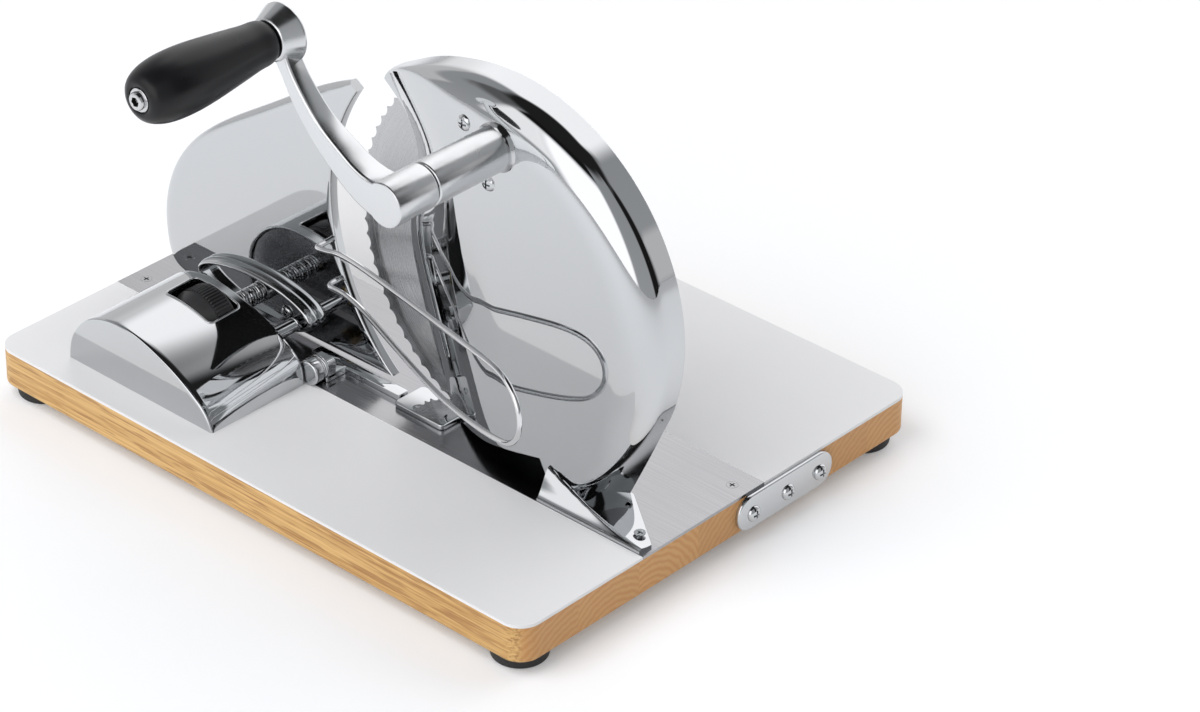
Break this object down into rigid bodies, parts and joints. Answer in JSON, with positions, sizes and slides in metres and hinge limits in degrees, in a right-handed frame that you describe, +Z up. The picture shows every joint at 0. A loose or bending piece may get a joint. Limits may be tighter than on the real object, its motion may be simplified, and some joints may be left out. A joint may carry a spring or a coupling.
{
  "type": "bread slicer",
  "caption": "Hand-cranked bread slicer: serrated round blade in a polished guard on a wooden board, geared side crank, sliding thickness gauge with thumb wheel and wire slice holder.",
  "frame": {"origin": "under the middle of the whole slicer, on the surface it stands on", "axes": "+Z up; +X along the long edge of the board, towards the blade's end; +Y from the crank handle's side to the loaf's side, along the axis of the blade and the crank"},
  "size_m": [0.3444, 0.3267, 0.2615],
  "materials": {
    "beech": "oiled, satin",
    "laminate": "white laminate, satin",
    "stainless": "fine satin stainless steel",
    "chrome": "mirror polished",
    "steel": "machined, zinc plated",
    "blade_steel": "fine ground",
    "bronze": "turned",
    "black_grip": "satin black",
    "black_wheel": "knurled, satin black",
    "rubber": "matt"
  },
  "bodies": {
    "base": {"adjuster_housing": "chrome", "blade_axle": "steel", "blade_cap": "chrome", "blade_guard": "chrome", "end_plate": "stainless", "end_plate_screws": "stainless", "foot_screws": "steel", "front_bracket": "steel", "front_bush": "bronze", "front_panel": "laminate", "gauge_spring": "steel", "gearcase_screws": "chrome", "guard_screws": "chrome", "guide_bush": "bronze", "guide_rail": "chrome", "idler_pin": "steel", "rail_bolt": "chrome", "rear_bracket": "steel", "rear_bush": "bronze", "rear_panel": "laminate", "rubber_feet": "rubber", "steel_strip": "stainless", "strip_screws": "stainless", "wood_board": "beech"},
    "crank": {"crank_arm": "chrome", "crank_shaft": "steel", "crank_gear": "steel", "grip_bolt": "steel"},
    "grip": {"grip": "black_grip"},
    "idler": {"idler_gear": "steel"},
    "blade": {"blade": "blade_steel", "blade_gear": "steel", "blade_rivets": "steel"},
    "gauge": {"gauge_plate": "chrome", "gauge_cup": "chrome", "gauge_spindle": "steel", "spindle_collar": "steel", "guide_rod": "steel", "plate_screw": "steel", "slice_holder": "chrome"},
    "thumb_wheel": {"thumb_wheel": "black_wheel"}
  },
  "joints": [
    {"name": "crank_turn", "type": "hinge", "parent": "base", "child": "crank", "pos_m": [0.0704, 0, 0.1913], "axis": [0, 1, 0], "continuous": true},
    {"name": "grip_spin", "type": "hinge", "parent": "crank", "child": "grip", "pos_m": [0.0042, -0.12, 0.2468], "axis": [0, 1, 0], "continuous": true},
    {"name": "idler_turn", "type": "hinge", "parent": "base", "child": "idler", "pos_m": [0.0777, 0, 0.15912], "axis": [0, 1, 0], "continuous": true},
    {"name": "blade_turn", "type": "hinge", "parent": "base", "child": "blade", "pos_m": [0.06, 0, 0.1145], "axis": [0, 1, 0], "continuous": true},
    {"name": "thumb_turn", "type": "hinge", "parent": "base", "child": "thumb_wheel", "pos_m": [-0.093, 0, 0.0455], "axis": [0, 1, 0], "range_deg": [-225.5, 1215.5]},
    {"name": "gauge_slide", "type": "slide", "parent": "base", "child": "gauge", "axis": [0, -1, 0], "range_m": [-0.0025, 0.0135], "deforming": ["gauge_spring"]}
  ],
  "couplings": [
    {"joint": "idler_turn", "follows": "crank_turn", "ratio": -0.83333},
    {"joint": "blade_turn", "follows": "crank_turn", "ratio": 0.5},
    {"joint": "thumb_turn", "follows": "gauge_slide", "rad_per_m": 1570.8}
  ]
}
